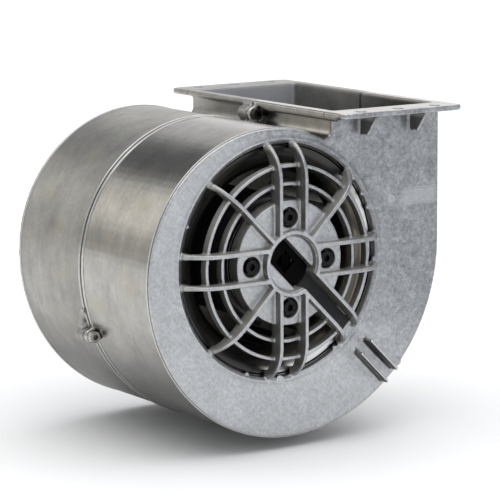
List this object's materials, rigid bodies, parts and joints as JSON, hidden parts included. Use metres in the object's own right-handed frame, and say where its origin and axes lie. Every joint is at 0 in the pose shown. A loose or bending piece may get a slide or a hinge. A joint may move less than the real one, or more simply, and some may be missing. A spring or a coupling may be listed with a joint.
{
  "type": "combustion fan",
  "caption": "Double-inlet centrifugal combustion fan with a split die-cast scroll, outlet flange, ribbed inlet grilles and an external-rotor motor carrying a drum wheel.",
  "frame": {"origin": "centre of the outlet flange's top face", "axes": "+Z out of the outlet flange, Y along the fan axis with the motor side inlet facing -Y, +X towards the duct's outer wall"},
  "size_m": [0.2647, 0.228, 0.2434],
  "materials": {
    "cast_aluminium": "die-cast, matt and mottled",
    "spun_aluminium": "spun, satin",
    "black_steel": "blackened screws",
    "black_plastic": "moulded",
    "zinc_steel": "zinc-plated screws",
    "black_paint": "baked enamel on the motor's rotor",
    "galvanised_steel": "zinc-coated sheet",
    "bearing_steel": "ground",
    "lamination_steel": "stacked sheet",
    "copper_wire": "enamelled wire"
  },
  "bodies": {
    "casing": {"casing_front": "cast_aluminium", "casing_rear": "cast_aluminium", "grille_front": "cast_aluminium", "grille_rear": "cast_aluminium", "grille_rings_front": "cast_aluminium", "grille_rings_rear": "cast_aluminium", "inlet_ring_front": "spun_aluminium", "inlet_ring_rear": "spun_aluminium", "casing_screws": "zinc_steel", "motor_screws": "black_steel", "motor_washers": "black_steel", "lead_guard": "black_plastic", "stator_flange": "cast_aluminium", "stator_stack": "lamination_steel", "stator_windings": "copper_wire", "bearing_outer_rings": "bearing_steel", "bearing_balls": "bearing_steel", "bearing_preload_spring": "bearing_steel"},
    "rotor": {"bearing_inner_rings": "bearing_steel", "motor_shaft": "bearing_steel", "shaft_clip": "black_steel", "rotor_can": "black_paint", "rotor_core": "lamination_steel", "wheel_disc": "galvanised_steel", "blades_front": "galvanised_steel", "blades_rear": "galvanised_steel", "shroud_ring_front": "galvanised_steel", "shroud_ring_rear": "galvanised_steel", "wheel_rivets": "bearing_steel", "balance_clips": "bearing_steel"}
  },
  "joints": [
    {"name": "wheel_spin", "type": "hinge", "parent": "casing", "child": "rotor", "pos_m": [-0.09445, 0, -0.104], "axis": [0, -1, 0], "continuous": true}
  ]
}
